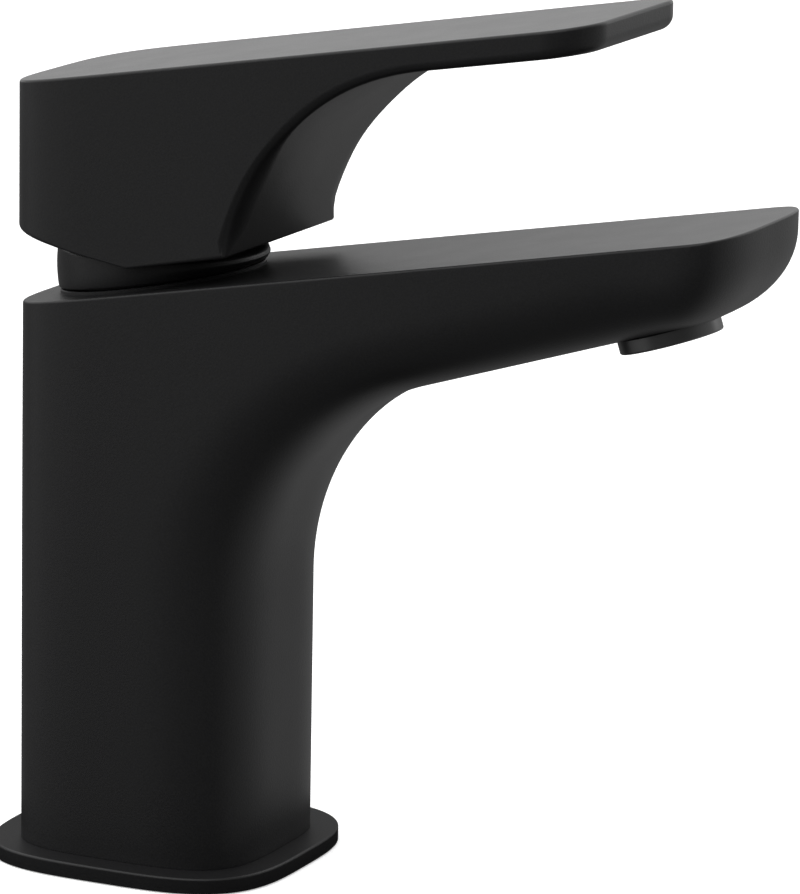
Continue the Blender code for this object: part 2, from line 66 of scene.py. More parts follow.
def high_corner(node):
    """The highest (x, forward, z) alone."""
    return extent(node)[1]


BODY_LOW, BODY_HIGH = extent("body_casting")
HANDLE_LOW, HANDLE_HIGH = extent("handle")
STUD_LOW, STUD_HIGH = extent("mounting_stud")
NUT_LOW, NUT_HIGH = extent("mounting_nut")

# Column and spout
HALF_WIDTH = BODY_HIGH[0]
HALF_DEPTH = -BODY_LOW[1]
CORNER_POWER = 3.7
FLANGE_HALF_WIDTH, FLANGE_HALF_DEPTH, FLANGE_THICK = high_corner("base_flange")
FOOT = FLANGE_THICK + 0.05
TOP_HEIGHT = 110.5
TOP_SLOPE = 0.18
UNDERSIDE_HEIGHT = 79.0
UNDERSIDE_SLOPE = 0.316
PITCH = math.atan(UNDERSIDE_SLOPE)
BLEND_RADIUS = 45.3
SPOUT_TIP = BODY_HIGH[1]
NOSE_RADIUS = 15.4
SPOUT_HALF_WIDTH = 22.6
SPOUT_TAPER = 0.9
TAPER_START = 60.0
TAPER_RUN = 50.0
SPOUT_ROUND = 16.0
SPOUT_POWER = 3.05
NOSE_ROUND = 10.2
NOSE_POWER = 3.28
NOSE_LEAD = 13.0
NOSE_EASE = 28.6
COVER_RISE = 12.0
FAN_BACK = 3.0
FAN_DRIFT = (0.3, 0.2)
TOP_EDGE = 0.5

# Openings in the body, and the boss under the collar
AXIS = -1.5
BOX_POWER = 5
BORE_RADIUS = 17.6
BORE_END = TOP_HEIGHT + 8
SEAT = 79.4
BOSS_RADIUS = 19.2
BOSS_FOOT = -4.0
BOSS_LIFT = 0.6
BOSS_CHAMFER = 0.15
HOSE_ROOM = (16.0, 10.5)
HOSE_ROOM_CENTRE = -4.5
HOSE_ROOM_TOP = 58.0
INLET_X = 7.0
INLET_FORWARD = 5.5
INLET_RADIUS = 3.4
GALLERY_RADIUS = 4.5
GALLERY_FORWARD = 13.5
GALLERY_BOTTOM = 81.9
GALLERY_TOP = 90.4
WATERWAY_RADIUS = 4.0
WATERWAY_START = (10.0, 87.9)
WATERWAY_END = (99.5, 117.8)
MOUTH = 100.6
MOUTH_RADIUS = 9.9
MOUTH_THREAD_RADIUS = 8.6
MOUTH_STEP = 0.6
MOUTH_DEPTH = 11.0
MOUTH_CUT = 8.0
SPIGOT_RADIUS = 17.5
SPIGOT_BOTTOM = 0.5
SPIGOT_LAP = 4.0
STUD_HOLE_DEPTH = 15.0
STUD_HOLE_GAP = 0.35

# Foot plate
FLANGE_POWER = 3.4
FLANGE_EDGE = 0.45
FLANGE_CHAMFER = 0.15
GROOVE_RADII = (21.2, 25.3)
GROOVE_DEPTH = 1.5
GASKET_RADII = (21.5, 25.0)
GASKET_THICK = 1.2
GASKET_EDGE = 0.3

# Collar: its outer foot, barrel and rim, then the steps inside it
COLLAR_RADIUS, _, COLLAR_TOP = high_corner("collar")
COLLAR_FOOT_RADIUS = 18.9
COLLAR_FOOT_OUT = 0.65
COLLAR_FOOT_UP = 0.5
COLLAR_LIFT = 0.9
COLLAR_WALL_RADIUS = 19.55
COLLAR_FLARE = 0.2
COLLAR_RIM_RADIUS = 18.15
COLLAR_RIM_REACH = 1.6
COLLAR_EDGE = 0.9
COLLAR_HOLE_RADIUS = 13.5
COLLAR_HOLE_CHAMFER = 0.4
COLLAR_NECK_RADIUS = 15.4
COLLAR_NECK_TOP = COLLAR_TOP - 1.5
COLLAR_SKIRT_RADII = (17.2, 17.9)
COLLAR_SKIRT_TOP = COLLAR_TOP - 2.1
COLLAR_NUT_GAP = 0.7
NUT_RING_TOP = high_corner("cartridge_nut")[2]

# Handle
HANDLE_HALF = HANDLE_HIGH[0]
HANDLE_BACK = HANDLE_LOW[1]
HANDLE_TIP = HANDLE_HIGH[1]
HANDLE_SLOPE = 0.17
HANDLE_TOP = HANDLE_HIGH[2] - HANDLE_SLOPE * HANDLE_TIP
LEVER_THICK = 5.2
KINK = (2.5, 115.85)
KINK_RADIUS = 2.0
FRONT_FOOT = (22.8, 119.65)
FOOT_RADIUS = 0.9
SCOOP_END = 61.3
SCOOP_LEAN = (0.26, 0.966)
SCOOP_PULLS = (25.0, 18.0)
BACK_RISE = 0.162
BACK_REACH = 24.1
BACK_POWER = 3.8
TIP_REACH = 9.0
TIP_SIDE = 9.0
HANDLE_TOP_EDGE = 0.6

# The rolled edge below the handle: its least radius, then each change with its start and its run,
# behind the kink, up the scoop, up to the lever and out to the tip
LEAST_EDGE = 0.4
BACK_EDGE = (0.8, 8.0, 16.0)
SCOOP_EDGE = (1.9, 118.3, 4.0)
LEVER_EDGE = (-0.5, 132.0, 12.0)
TIP_EDGE = (1.0, HANDLE_TIP - 1.2 * TIP_REACH, TIP_REACH)

# How much wider it is across the scoop's face, and where that ends
SCOOP_SPREAD = (4.0, 120.5, 5.0)
SPREAD_END = (1.0, 134.0, 12.0)

# Inside the handle
HOLLOW_BOTTOM = 105.0
HOLLOW_RADIUS = 20.6
HOLLOW_TOP = 124.4
POCKET_RADIUS = 15.0
POCKET_TOP = 143.4
SOCKET_WALL_RADIUS = 9.5
SOCKET_HALF = 4.3
SOCKET_POWER = 8
SOCKET_TOP = 141.4
SCREW_HEIGHT = 132.4

# Holes behind the stem, as (radius, start, end) back from the handle's axis, and the cap in the outer one
SCREW_HOLE = (2.8, 3.5, 11.0)
CAP_HOLE = (3.7, 15.0, 26.0)
CAP_START = -high_corner("screw_cap")[1]
CAP_END = -extent("screw_cap")[0][1]
CAP_RADIUS = 3.4
CAP_CHAMFER = 0.2
CAP_RIM = 0.5
CAP_DOME = 0.12

# Outlet: heights are above the underside, square to it
RING_RADIUS = 9.6
RING_DROP = 2.4
RING_RIM = 0.4
RING_LIP = 0.8 - RING_DROP
RING_LIP_RADIUS = 6.6
RING_WALL_RADIUS = 7.3
RING_NECK = 0.3
RING_TOP = 7.5
RING_THREAD_RADIUS = 8.3
RING_THREAD = (0.9, 7.2)
RING_PITCH = 1.0
RING_THREAD_DEPTH = 0.45
CUP_RADII = (6.0, 7.0)
CUP_HEIGHTS = (-1.2, 5.0)
CUP_WALL = 1.2
JET_RADIUS = 0.9
JET_CIRCLE = 3.7
JET_COUNT = 6
JET_CUT = (-3.0, 7.0)
JET_SIDES = 24

# Screen: radius, height, half a wire's thickness and pitch. Its rim and the washer: radii, heights and edge
SCREEN = (5.5, -0.65, 0.1, 0.72)
SCREEN_RIM = (5.25, 5.7, -0.9, -0.4, 0.12)
WASHER = (5.4, 8.2, 7.8, 9.4, 0.35)

# Under the deck
STUD_RADIUS = STUD_HIGH[0]
STUD_FORWARD = (STUD_LOW[1] + STUD_HIGH[1]) / 2
STUD_PITCH = 1.25
STUD_THREAD_DEPTH = 0.65
STUD_CHAMFER = 0.9
HORSESHOE_RADIUS = 23.0
HOSE_SLOT = (11.0, 24.0)
HOSE_SLOT_CENTRE = -19.0
NUT_CORNER = NUT_HIGH[0]
NUT_THREAD_DEPTH = 0.6
NUT_LEAD_IN = 0.6
NUT_CHAMFER = 0.5

ROUND = 96
SMALL_ROUND = 48

# Where the camera stands, in millimetres, and how it points, in radians
CAMERA_AT = (-925.6, -482.2, 315.5)
CAMERA_YAW = 0.4388
CAMERA_PITCH = 0.2235
CAMERA_ROLL = 0.0176
CAMERA_LENS = 229.4

# Soft light: a glow is the direction that it comes from, where it starts and is full, and its strength
EVEN_GLOW = 0.17
LOW_GLOW = ((0.64, -0.77, -0.25), 0.27, 0.95, 0.34)
HIGH_GLOWS = (
    ((0.0, 0.0, 1.0), 0.3, 0.9, 0.8),
    ((-0.55, 0.35, 0.75), 0.5, 0.95, 1.4),
)
HORIZON = ((0.0, 0.0, 1.0), -0.02, 0.6, 1.0)

# Lamps: name, bearing round from +X in degrees, then distance, foot, width and height in mm, and glow
PANELS = (
    ("back_panel", 25.1, 170.0, 140.0, 1300.0, 500.0, 1.02),
    ("left_panel", 128.0, 650.0, -170.0, 850.0, 560.0, 0.47),
)

FLOOR_REACH = 3000.0
FLOOR_HEIGHT = -0.2
SHADE_RADIUS = 52.0
SHADE_HEIGHT = -0.6


# Mesh helpers

def place(x, forward, z):
    """A point in metres from millimetres, with forward running towards -Y."""
    return Vector((x, -forward, z)) * MM


def build(name, corners, faces, at=(0.0, 0.0, 0.0), tilt=0.0):
    """An object with its origin at `at`, from corners given as (x, forward, z) about that origin."""
    mesh = bpy.data.meshes.new(name)
    mesh.from_pydata([place(*corner) for corner in corners], [], faces)
    form = bmesh.new()
    form.from_mesh(mesh)
    bmesh.ops.recalc_face_normals(form, faces=form.faces)
    form.to_mesh(mesh)
    form.free()
    item = bpy.data.objects.new(name, mesh)
    item.location = place(*at)
    item.rotation_euler = (tilt, 0.0, 0.0)
    bpy.context.scene.collection.objects.link(item)
    return item


def ring_face(first, count):
    """One face over a whole ring of corners."""
    return list(range(first, first + count))


def band(low, high, count):
    """Quads between two rings of corners, given the number that each ring starts at."""
    faces = []
    for i in range(count):
        j = (i + 1) % count
        faces.append([low + i, low + j, high + j, high + i])
    return faces


def loft(name, rings, **placing):
    """Closed rings with equal counts, joined by quads and capped at both ends."""
    count = len(rings[0])
    corners = [corner for ring in rings for corner in ring]
    last = len(corners) - count
    faces = [ring_face(0, count), ring_face(last, count)]
    for low in range(0, last, count):
        faces += band(low, low + count, count)
    return build(name, corners, faces, **placing)


def turned(name, profile, sides=ROUND, height=None, radius_at=None, **placing):
    """A closed (radius, z) profile turned about Z.

    height(z, forward) may set each point's height, and radius_at(radius, z, angle) its radius.
    """
    corners, rows, faces = [], [], []
    for radius, z in profile:
        row = []
        for i in range(sides if radius > 0 else 1):
            angle = 2 * math.pi * i / sides
            reach = radius_at(radius, z, angle) if radius_at else radius
            forward = reach * math.cos(angle)
            level = height(z, forward) if height else z
            row.append(len(corners))
            corners.append((reach * math.sin(angle), forward, level))
        rows.append(row)
    for low, high in zip(rows, rows[1:] + rows[:1]):
        for i in range(sides if len(low) + len(high) > 2 else 0):
            j = (i + 1) % sides
            ring = [low[i % len(low)], low[j % len(low)], high[j % len(high)], high[i % len(high)]]
            faces.append(list(dict.fromkeys(ring)))
    return build(name, corners, faces, **placing)


def rod(name, radius, low, high, sides=SMALL_ROUND, **placing):
    """A plain cylinder about Z."""
    return turned(name, [(0, low), (radius, low), (radius, high), (0, high)], sides, **placing)


def squircle(half_x, half_f, power, z, count=SMALL_ROUND, centre=0.0):
    """A superellipse ring, round at power 2 and almost square at power 8."""
    ring = []
    for i in range(count):
        angle = 2 * math.pi * (i + 0.5) / count
        side, front = math.sin(angle), math.cos(angle)
        x = half_x * math.copysign(abs(side) ** (2 / power), side)
        forward = centre + half_f * math.copysign(abs(front) ** (2 / power), front)
        ring.append((x, forward, z))
    return ring


def join(target, tool, operation="DIFFERENCE"):
    """Cut a piece with a tool shape, or unite the two, and delete the tool."""
    step = target.modifiers.new(tool.name, "BOOLEAN")
    step.operation = operation
    step.solver = "EXACT"
    step.object = tool
    settle(target)
    bpy.data.objects.remove(tool, do_unlink=True)


def settle(item):
    """Turn a piece's modifiers into mesh."""
    bpy.context.view_layer.update()
    seen = item.evaluated_get(bpy.context.evaluated_depsgraph_get())
    mesh = bpy.data.meshes.new_from_object(seen)
    item.modifiers.clear()
    old = item.data
    item.data = mesh
    bpy.data.meshes.remove(old)


def finish_surface(item, sharp):
    """Smooth the shading between flat faces and their rounded edges, up to an angle in degrees."""
    item.data.shade_smooth()
    item.data.set_sharp_from_angle(angle=math.radians(sharp))
    even = item.modifiers.new("even_normals", "WEIGHTED_NORMAL")
    even.keep_sharp = True
    even.weight = 80


def show(item, node, body, finish, sharp=35.0):
    """Give a detailed piece its shading and finish, and let it stand for its solid."""
    finish_surface(item, sharp)
    item.data.materials.clear()
    item.data.materials.append(finish)
    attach(item, body)
    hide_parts(node)


def lay_back(item):
    """Turn a piece so that its own +Z runs towards +Y, away from the spout."""
    item.rotation_euler = (-math.pi / 2, 0.0, 0.0)


def smooth(t):
    """An eased step from 0 to 1 as t goes from 0 to 1."""
    t = min(max(t, 0.0), 1.0)
    return t * t * (3 - 2 * t)


def ramp(value, change, start, run):
    """Nothing up to the start, then an eased rise to the whole change over the run."""
    return change * smooth((value - start) / run)


def arc(steps):
    """Angles from 0 to a quarter turn."""
    return [math.pi / 2 * i / steps for i in range(steps + 1)]


# Column and spout

def swell(depth, reach, power):
    """How much of its full half-width a superellipse has at a depth inside its edge, 0 to 1."""
    inside = max(1 - depth / reach, 0.0)
    return max(1 - inside ** power, 0.0) ** (1 / power)


def top_plane(forward):
    return TOP_HEIGHT + TOP_SLOPE * forward


def underside(forward):
    return UNDERSIDE_HEIGHT + UNDERSIDE_SLOPE * forward


BLEND_HEIGHT = underside(HALF_DEPTH) - BLEND_RADIUS * math.tan((math.pi / 2 - PITCH) / 2)
NOSE_FORWARD = SPOUT_TIP - NOSE_RADIUS
NOSE_HEIGHT = underside(NOSE_FORWARD) + NOSE_RADIUS / math.cos(PITCH)


def front_profile():
    """The body's front and underside in side view: (forward, height, inward normal, spout share) rows."""
    rows = []
    steps = 8
    for i in range(steps):
        rows.append((HALF_DEPTH, FOOT + (BLEND_HEIGHT - FOOT) * i / steps, (-1.0, 0.0), 0.0))
    steps = 34
    for i in range(steps + 1):
        angle = math.pi - (math.pi / 2 - PITCH) * i / steps
        normal = (math.cos(angle), math.sin(angle))
        forward = HALF_DEPTH + BLEND_RADIUS * (1 + normal[0])
        rows.append((forward, BLEND_HEIGHT + BLEND_RADIUS * normal[1], normal, smooth(i / steps)))
    start = rows[-1][0]
    finish = NOSE_FORWARD + NOSE_RADIUS * math.sin(PITCH)
    steps = 24
    for i in range(1, steps):
        forward = start + (finish - start) * i / steps
        rows.append((forward, underside(forward), (-math.sin(PITCH), math.cos(PITCH)), 1.0))
    steps = 26
    for i in range(steps + 1):
        angle = (PITCH - math.pi / 2) * (1 - i / steps)
        normal = (-math.cos(angle), -math.sin(angle))
        forward = NOSE_FORWARD - NOSE_RADIUS * normal[0]
        rows.append((forward, NOSE_HEIGHT - NOSE_RADIUS * normal[1], normal, 1.0))
    steps = 4
    for i in range(1, steps + 1):
        rows.append((SPOUT_TIP, NOSE_HEIGHT + COVER_RISE * i / steps, (-1.0, 0.0), 1.0))
    return rows


def nose_depth(forward, z):
    """Distance inside the underside, the nose arc or the tip, whichever is nearest."""
    ahead, above = forward - NOSE_FORWARD, z - NOSE_HEIGHT
    if PITCH - math.pi / 2 < math.atan2(above, ahead) < 0:
        return NOSE_RADIUS - math.hypot(ahead, above)
    return min((z - underside(forward)) * math.cos(PITCH), SPOUT_TIP - forward)


def section_length(forward, z, normal, past_nose):
    """Length and direction of a section from the front profile to the back or to above the top.

    Round the nose the sections fan out from above the top, with their far ends drifting forward.
    """
    if past_nose > 0:
        above = top_plane(NOSE_FORWARD) + COVER_RISE
        ahead, up = [drift * past_nose for drift in FAN_DRIFT]
        way = Vector((NOSE_FORWARD - FAN_BACK + ahead, above + up)) - Vector((forward, z))
        return way.length, way.normalized()
    rise = normal[1] - TOP_SLOPE * normal[0]
    to_cover = (top_plane(forward) + COVER_RISE - z) / rise if rise > 1e-6 else math.inf
    to_back = (forward + HALF_DEPTH) / -normal[0]
    return min(to_cover, to_back), normal


def body_rings(points=26):
    """Closed rings of the column and spout, each in a plane that stands square to the front profile."""
    rings = []
    rows = front_profile()
    nose_start = NOSE_FORWARD + NOSE_RADIUS * math.sin(PITCH)
    lengths = [0.0]
    for here, then in zip(rows[1:], rows[:-1]):
        lengths.append(lengths[-1] + math.hypot(here[0] - then[0], here[1] - then[1]))
    nose_path = min(n for n, row in zip(lengths, rows) if row[0] >= nose_start - 0.01)
    first = math.radians(1.5)
    angles = [first + (math.pi / 2 - first) * i / (points - 1) for i in range(points)]
    for (forward, z, normal, spout), path in zip(rows, lengths):
        nose = smooth((path - nose_path + NOSE_LEAD) / NOSE_EASE)
        reach = HALF_DEPTH + (SPOUT_ROUND - HALF_DEPTH) * spout
        reach += (NOSE_ROUND - reach) * nose
        power = CORNER_POWER + (SPOUT_POWER - CORNER_POWER) * spout
        power += (NOSE_POWER - power) * nose
        width = HALF_WIDTH + (SPOUT_HALF_WIDTH - HALF_WIDTH) * spout
        width -= SPOUT_TAPER * min(max((forward - TAPER_START) / TAPER_RUN, 0.0), 1.0)
        length, bearing = section_length(forward, z, normal, path - nose_path)
        back_reach = min(HALF_DEPTH / max(-bearing[0], 0.05), length - reach)
        depths = [reach * (1 - math.cos(a) ** (2 / power)) for a in angles]
        for a in reversed(angles[:-1]):
            depths.append(length - back_reach * (1 - math.cos(a) ** (2 / power)))
        side = []
        for depth in depths:
            f, h = forward + bearing[0] * depth, z + bearing[1] * depth
            inside = depth if path <= nose_path else nose_depth(f, h)
            x = width * swell(inside, reach, power) * swell(f + HALF_DEPTH, HALF_DEPTH, CORNER_POWER)
            side.append((x, f, h))
        rings.append([(-x, f, h) for x, f, h in side] + [(x, f, h) for x, f, h in reversed(side)])
    return rings


def trim_top(body, radius=TOP_EDGE, steps=5):
    """Cut the body along its sloping top, round the rim and close it with a flat face."""
    form = bmesh.new()
    form.from_mesh(body.data)
    up = Vector((0, TOP_SLOPE, 1)).normalized()
    top = place(0, 0, TOP_HEIGHT)
    edge = radius * MM
    for angle in arc(steps):
        bmesh.ops.bisect_plane(
            form,
            geom=form.verts[:] + form.edges[:] + form.faces[:],
            plane_co=top - up * edge * (1 - math.sin(angle)),
            plane_no=up,
            clear_outer=False,
        )
    form.normal_update()
    moves = []
    for corner in form.verts:
        depth = (top - corner.co).dot(up)
        if -1e-7 < depth < edge:
            outward = corner.normal - up * corner.normal.dot(up)
            share = math.sqrt(max(edge ** 2 - (edge - depth) ** 2, 0.0))
            moves.append((corner, -outward.normalized() * (edge - share)))
    for corner, move in moves:
        corner.co += move
    above = [corner for corner in form.verts if (corner.co - top).dot(up) > 1e-7]
    bmesh.ops.delete(form, geom=above, context="VERTS")
    rim = [side for side in form.edges if side.is_boundary]
    bmesh.ops.contextual_create(form, geom=rim)
    bmesh.ops.recalc_face_normals(form, faces=form.faces)
    form.to_mesh(body.data)
    form.free()


def on_top(z, forward):
    """Height of a turned point that follows the body's sloping top face."""
    return top_plane(AXIS + forward) + z


def body_casting(finish):
    """The column and spout in one casting, with its boss, cartridge bore, passages and outlet."""
    body = loft("column_and_spout", body_rings())
    trim_top(body)
    join(body, rod("spigot", SPIGOT_RADIUS, SPIGOT_BOTTOM, FOOT + SPIGOT_LAP, ROUND), "UNION")
    boss = [(0, BOSS_FOOT), (BOSS_RADIUS, BOSS_FOOT), (BOSS_RADIUS, BOSS_LIFT - BOSS_CHAMFER)]
    boss += [(BOSS_RADIUS - BOSS_CHAMFER, BOSS_LIFT), (0, BOSS_LIFT)]
    join(body, turned("boss", boss, height=on_top, at=(0, AXIS, 0)), "UNION")
    join(body, rod("bore", BORE_RADIUS, SEAT, BORE_END, ROUND, at=(0, AXIS, 0)))
    room = [squircle(*HOSE_ROOM, BOX_POWER, z, centre=HOSE_ROOM_CENTRE) for z in (-PAST, HOSE_ROOM_TOP)]
    join(body, loft("hose_room", room))
    for side in (-1, 1):
        at = (side * INLET_X, AXIS + INLET_FORWARD, 0)
        join(body, rod("inlet_passage", INLET_RADIUS, HOSE_ROOM_TOP - PAST, SEAT + PAST, at=at))
    join(body, rod("gallery", GALLERY_RADIUS, GALLERY_BOTTOM, GALLERY_TOP, at=(0, GALLERY_FORWARD, 0)))
    run, rise = (end - start for end, start in zip(WATERWAY_END, WATERWAY_START))
    waterway = rod("waterway", WATERWAY_RADIUS, 0, math.hypot(run, rise), at=(0, *WATERWAY_START))
    waterway.rotation_euler = (math.atan2(run, rise), 0.0, 0.0)
    join(body, waterway)
    mouth = [(0, -MOUTH_CUT), (MOUTH_RADIUS, -MOUTH_CUT), (MOUTH_RADIUS, MOUTH_STEP)]
    mouth += [(MOUTH_THREAD_RADIUS, MOUTH_STEP), (MOUTH_THREAD_RADIUS, MOUTH_DEPTH), (0, MOUTH_DEPTH)]
    join(body, turned("mouth", mouth, at=(0, MOUTH, underside(MOUTH)), tilt=-PITCH))
    stud_hole_radius = STUD_RADIUS + STUD_HOLE_GAP
    join(body, rod("stud_hole", stud_hole_radius, -PAST, STUD_HOLE_DEPTH, at=(0, STUD_FORWARD, 0)))
    show(body, "body_casting", "faucet_body", finish)


# Foot plate and collar

def base_flange(finish):
    """A soft-square plate with a rounded top edge, pierced for the spigot and grooved below."""
    levels = [(FLANGE_CHAMFER, 0.0), (0.0, FLANGE_CHAMFER)]
    for angle in arc(8):
        inset = FLANGE_EDGE * (1 - math.cos(angle))
        levels.append((inset, FLANGE_THICK - FLANGE_EDGE * (1 - math.sin(angle))))
    rings = []
    for inset, z in levels:
        half_x, half_f = FLANGE_HALF_WIDTH - inset, FLANGE_HALF_DEPTH - inset
        rings.append(squircle(half_x, half_f, FLANGE_POWER, z, 144))
    plate = loft("foot_plate", rings)
    join(plate, rod("flange_hole", SPIGOT_RADIUS + GAP, -PAST, FLANGE_THICK + PAST, ROUND))
    inner, outer = GROOVE_RADII
    groove = [(inner, -PAST), (outer, -PAST), (outer, GROOVE_DEPTH), (inner, GROOVE_DEPTH)]
    join(plate, turned("gasket_groove", groove))
    show(plate, "base_flange", "faucet_body", finish)


def base_gasket(finish):
    """The rubber ring in the foot plate's groove."""
    gasket = turned("foot_gasket", soft_ring(*GASKET_RADII, 0.0, GASKET_THICK, GASKET_EDGE))
    show(gasket, "base_gasket", "faucet_body", finish)


def collar(finish):
    """The barrel ring under the handle; its foot follows the sloping top, its crown is level."""
    profile = [(COLLAR_FOOT_RADIUS, ("slant", 0.0, COLLAR_LIFT))]
    for angle in arc(3)[1:]:
        radius = COLLAR_FOOT_RADIUS + COLLAR_FOOT_OUT * math.sin(angle)
        lift = COLLAR_LIFT + COLLAR_FOOT_UP * (1 - math.cos(angle))
        profile.append((radius, ("slant", 0.0, lift)))
    wall_top = COLLAR_TOP - COLLAR_EDGE
    bulge = 4 * (COLLAR_RADIUS - COLLAR_WALL_RADIUS - COLLAR_FLARE / 2)
    steps = 10
    for i in range(1, steps):
        share = i / steps
        radius = COLLAR_WALL_RADIUS + COLLAR_FLARE * share + bulge * share * (1 - share)
        profile.append((radius, ("slant", share, COLLAR_LIFT + COLLAR_FOOT_UP)))
    for angle in arc(8):
        radius = COLLAR_RIM_RADIUS + COLLAR_RIM_REACH * math.cos(angle)
        profile.append((radius, ("level", wall_top + COLLAR_EDGE * math.sin(angle), 0.0)))
    mouth = NUT_RING_TOP + COLLAR_NUT_GAP
    inner, outer = COLLAR_SKIRT_RADII
    inside = [
        (COLLAR_HOLE_RADIUS + COLLAR_HOLE_CHAMFER, COLLAR_TOP),
        (COLLAR_HOLE_RADIUS, COLLAR_TOP - COLLAR_HOLE_CHAMFER),
        (COLLAR_HOLE_RADIUS, COLLAR_NECK_TOP),
        (COLLAR_NECK_RADIUS, COLLAR_NECK_TOP),
        (COLLAR_NECK_RADIUS, mouth),
        (inner, mouth),
        (inner, COLLAR_SKIRT_TOP),
        (outer, COLLAR_SKIRT_TOP),
    ]
    profile += [(radius, ("level", z, 0.0)) for radius, z in inside]
    profile += [(outer, ("slant", 0.0, COLLAR_LIFT))]

    def height(point, forward):
        """A level point's own height, or a share of the way up from the sloping top to the rim."""
        kind, value, lift = point
        if kind == "level":
            return value
        foot = top_plane(AXIS + forward) + lift
        return foot + (wall_top - foot) * value

    ring = turned("cover_ring", profile, sides=144, height=height, at=(0, AXIS, 0))
    show(ring, "collar", "faucet_body", finish)


# Handle

def handle_top(forward):
    return HANDLE_TOP + HANDLE_SLOPE * forward


def scoop(t):
    """A point on the concave front of the block, a cubic from its foot to the lever's underside."""
    lever = Vector((1.0, HANDLE_SLOPE)).normalized()
    start = Vector(FRONT_FOOT)
    end = Vector((SCOOP_END, handle_top(SCOOP_END) - LEVER_THICK))
    a, b = start + SCOOP_PULLS[0] * Vector(SCOOP_LEAN), end - SCOOP_PULLS[1] * lever
    return (1 - t) ** 3 * start + 3 * t * (1 - t) ** 2 * a + 3 * t * t * (1 - t) * b + t ** 3 * end


def turn_left(way):
    """A side-view direction turned a quarter to its left."""
    return Vector((-way.y, way.x))


def bend_corner(corner, before, after, radius, steps=5):
    """Points and inward normals round a corner of the underside, between two directions."""
    start, end = math.atan2(before.y, before.x), math.atan2(after.y, after.x)
    centre = corner - before * radius * math.tan((end - start) / 2) + turn_left(before) * radius
    rows = []
    for i in range(steps + 1):
        angle = start + (end - start) * i / steps
        inward = turn_left(Vector((math.cos(angle), math.sin(angle))))
        rows.append((centre - inward * radius, inward))
    return rows


def handle_underside():
    """The handle's lower outline in side view, back to tip: (point, inward normal) rows."""
    kink, foot = Vector(KINK), Vector(FRONT_FOOT)
    back = Vector((1.0, -BACK_RISE)).normalized()
    belly = (foot - kink).normalized()
    lean = Vector(SCOOP_LEAN).normalized()
    lever = Vector((1.0, HANDLE_SLOPE)).normalized()
    rows = bend_corner(kink, back, belly, KINK_RADIUS)
    rows += bend_corner(foot, belly, lean, FOOT_RADIUS)
    steps = 30
    for i in range(1, steps + 1):
        t = i / steps
        tangent = (scoop(min(t + 0.01, 1.0)) - scoop(t - 0.01)).normalized()
        if scoop(t).y > rows[-1][0].y + 0.3:
            rows.append((scoop(t), turn_left(tangent)))
    rows[-1] = (rows[-1][0], turn_left(lever))
    return rows, (rows[0][0], back), (rows[-1][0], lever)


def lower_edge_radius(forward, z):
    """The fillet along the handle's lower edge: crisp at the belly, fuller at the back and up the scoop."""
    if forward < KINK[0]:
        return LEAST_EDGE + ramp(KINK[0] - forward, *BACK_EDGE)
    return LEAST_EDGE + ramp(z, *SCOOP_EDGE) + ramp(z, *LEVER_EDGE) + ramp(forward, *TIP_EDGE)


def lower_edge_reach(radius, z):
    """How far that fillet reaches across the scoop's face, where the edge is at its fullest."""
    return radius + ramp(z, *SCOOP_SPREAD) * (1 - ramp(z, *SPREAD_END))


def handle_stations():
    """Places round the handle's outline: (half-width, forward, plan inward normal, lower z, lower normal)."""
    middle, (back_at, back), (lever_at, lever) = handle_underside()
    stations = []

    def corner_rows(centre, reach, side, power, way, line_at, line):
        """A superellipse corner that takes up `reach` along the handle and `side` across it.

        A corner as wide as the handle's half leaves out its first row, which is on the middle line.
        """
        rows = []
        steps = 26
        for i in range(0 if side < HANDLE_HALF else 1, steps + 1):
            angle = math.pi / 2 * i / steps
            out, across = math.cos(angle) ** (2 / power), math.sin(angle) ** (2 / power)
            if i == steps:
                out, across = 0.0, 1.0
            slope = Vector((across ** (power - 1) / side, way * out ** (power - 1) / reach))
            forward = centre + way * reach * out
            z = line_at.y + (forward - line_at.x) * line.y / line.x
            half = HANDLE_HALF - side * (1 - across)
            rows.append((half, forward, -slope.normalized(), z, turn_left(line)))
        return rows

    centre = HANDLE_BACK + BACK_REACH
    stations += corner_rows(centre, BACK_REACH, HANDLE_HALF, BACK_POWER, -1, back_at, back)
    for point, inward in middle:
        stations.append((HANDLE_HALF, point.x, Vector((-1.0, 0.0)), point.y, inward))
    centre = HANDLE_TIP - TIP_REACH
    run = centre - lever_at.x
    for i in range(1, 6):
        forward = lever_at.x + run * i / 6
        z = lever_at.y + run * i / 6 * HANDLE_SLOPE
        stations.append((HANDLE_HALF, forward, Vector((-1.0, 0.0)), z, turn_left(lever)))
    stations += reversed(corner_rows(centre, TIP_REACH, TIP_SIDE, 2, 1, lever_at, lever))
    return stations


def long_fillet(edge, wall_in, face_in, radius, reach, steps=12):
    """Points of a quarter ellipse from a wall round to a face square to it, longer on the face."""
    centre = edge + wall_in * reach + face_in * radius
    return [centre - wall_in * reach * math.cos(a) - face_in * radius * math.sin(a) for a in arc(steps)]


def fillet(edge, wall_in, face_in, radius, steps=12):
    """Points of a ball rolled along an edge, from the wall round to the face, given both inward normals."""
    lift = radius / (1 + wall_in.dot(face_in))
    centre = edge + (wall_in + face_in) * lift
    span = wall_in.angle(face_in)
    points = []
    for i in range(steps + 1):
        share = i / steps
        toward = wall_in * math.sin((1 - share) * span) + face_in * math.sin(share * span)
        points.append(centre - toward.normalized() * radius)
    return points


